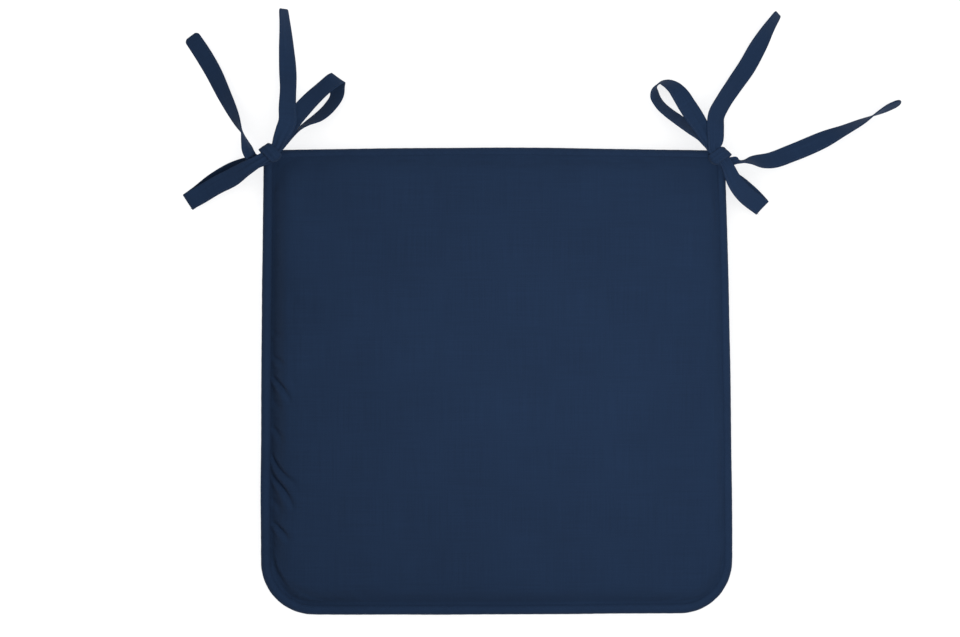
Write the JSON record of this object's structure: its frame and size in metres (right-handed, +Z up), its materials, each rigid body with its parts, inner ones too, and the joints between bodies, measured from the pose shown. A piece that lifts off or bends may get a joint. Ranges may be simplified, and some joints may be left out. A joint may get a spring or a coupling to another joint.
{
  "type": "chair pad",
  "caption": "Square foam chair pad with a corded edge, rounded front corners and flat cloth ties at the rear corners, each pair tied in a bow.",
  "frame": {"origin": "middle of the flat underside, on the surface that the pad lies on", "axes": "+Z up from the underside to the crown, +Y toward the rear edge with the ties, +X to the right seen from above"},
  "size_m": [0.6135, 0.5157, 0.028],
  "materials": {
    "navy_cotton": "matte",
    "navy_tape": "matte"
  },
  "bodies": {
    "root": {"pad": "navy_cotton", "piping": "navy_cotton", "tie_left_core": "navy_tape", "tie_left_wrap": "navy_tape", "tie_right_core": "navy_tape", "tie_right_wrap": "navy_tape"}
  },
  "joints": []
}
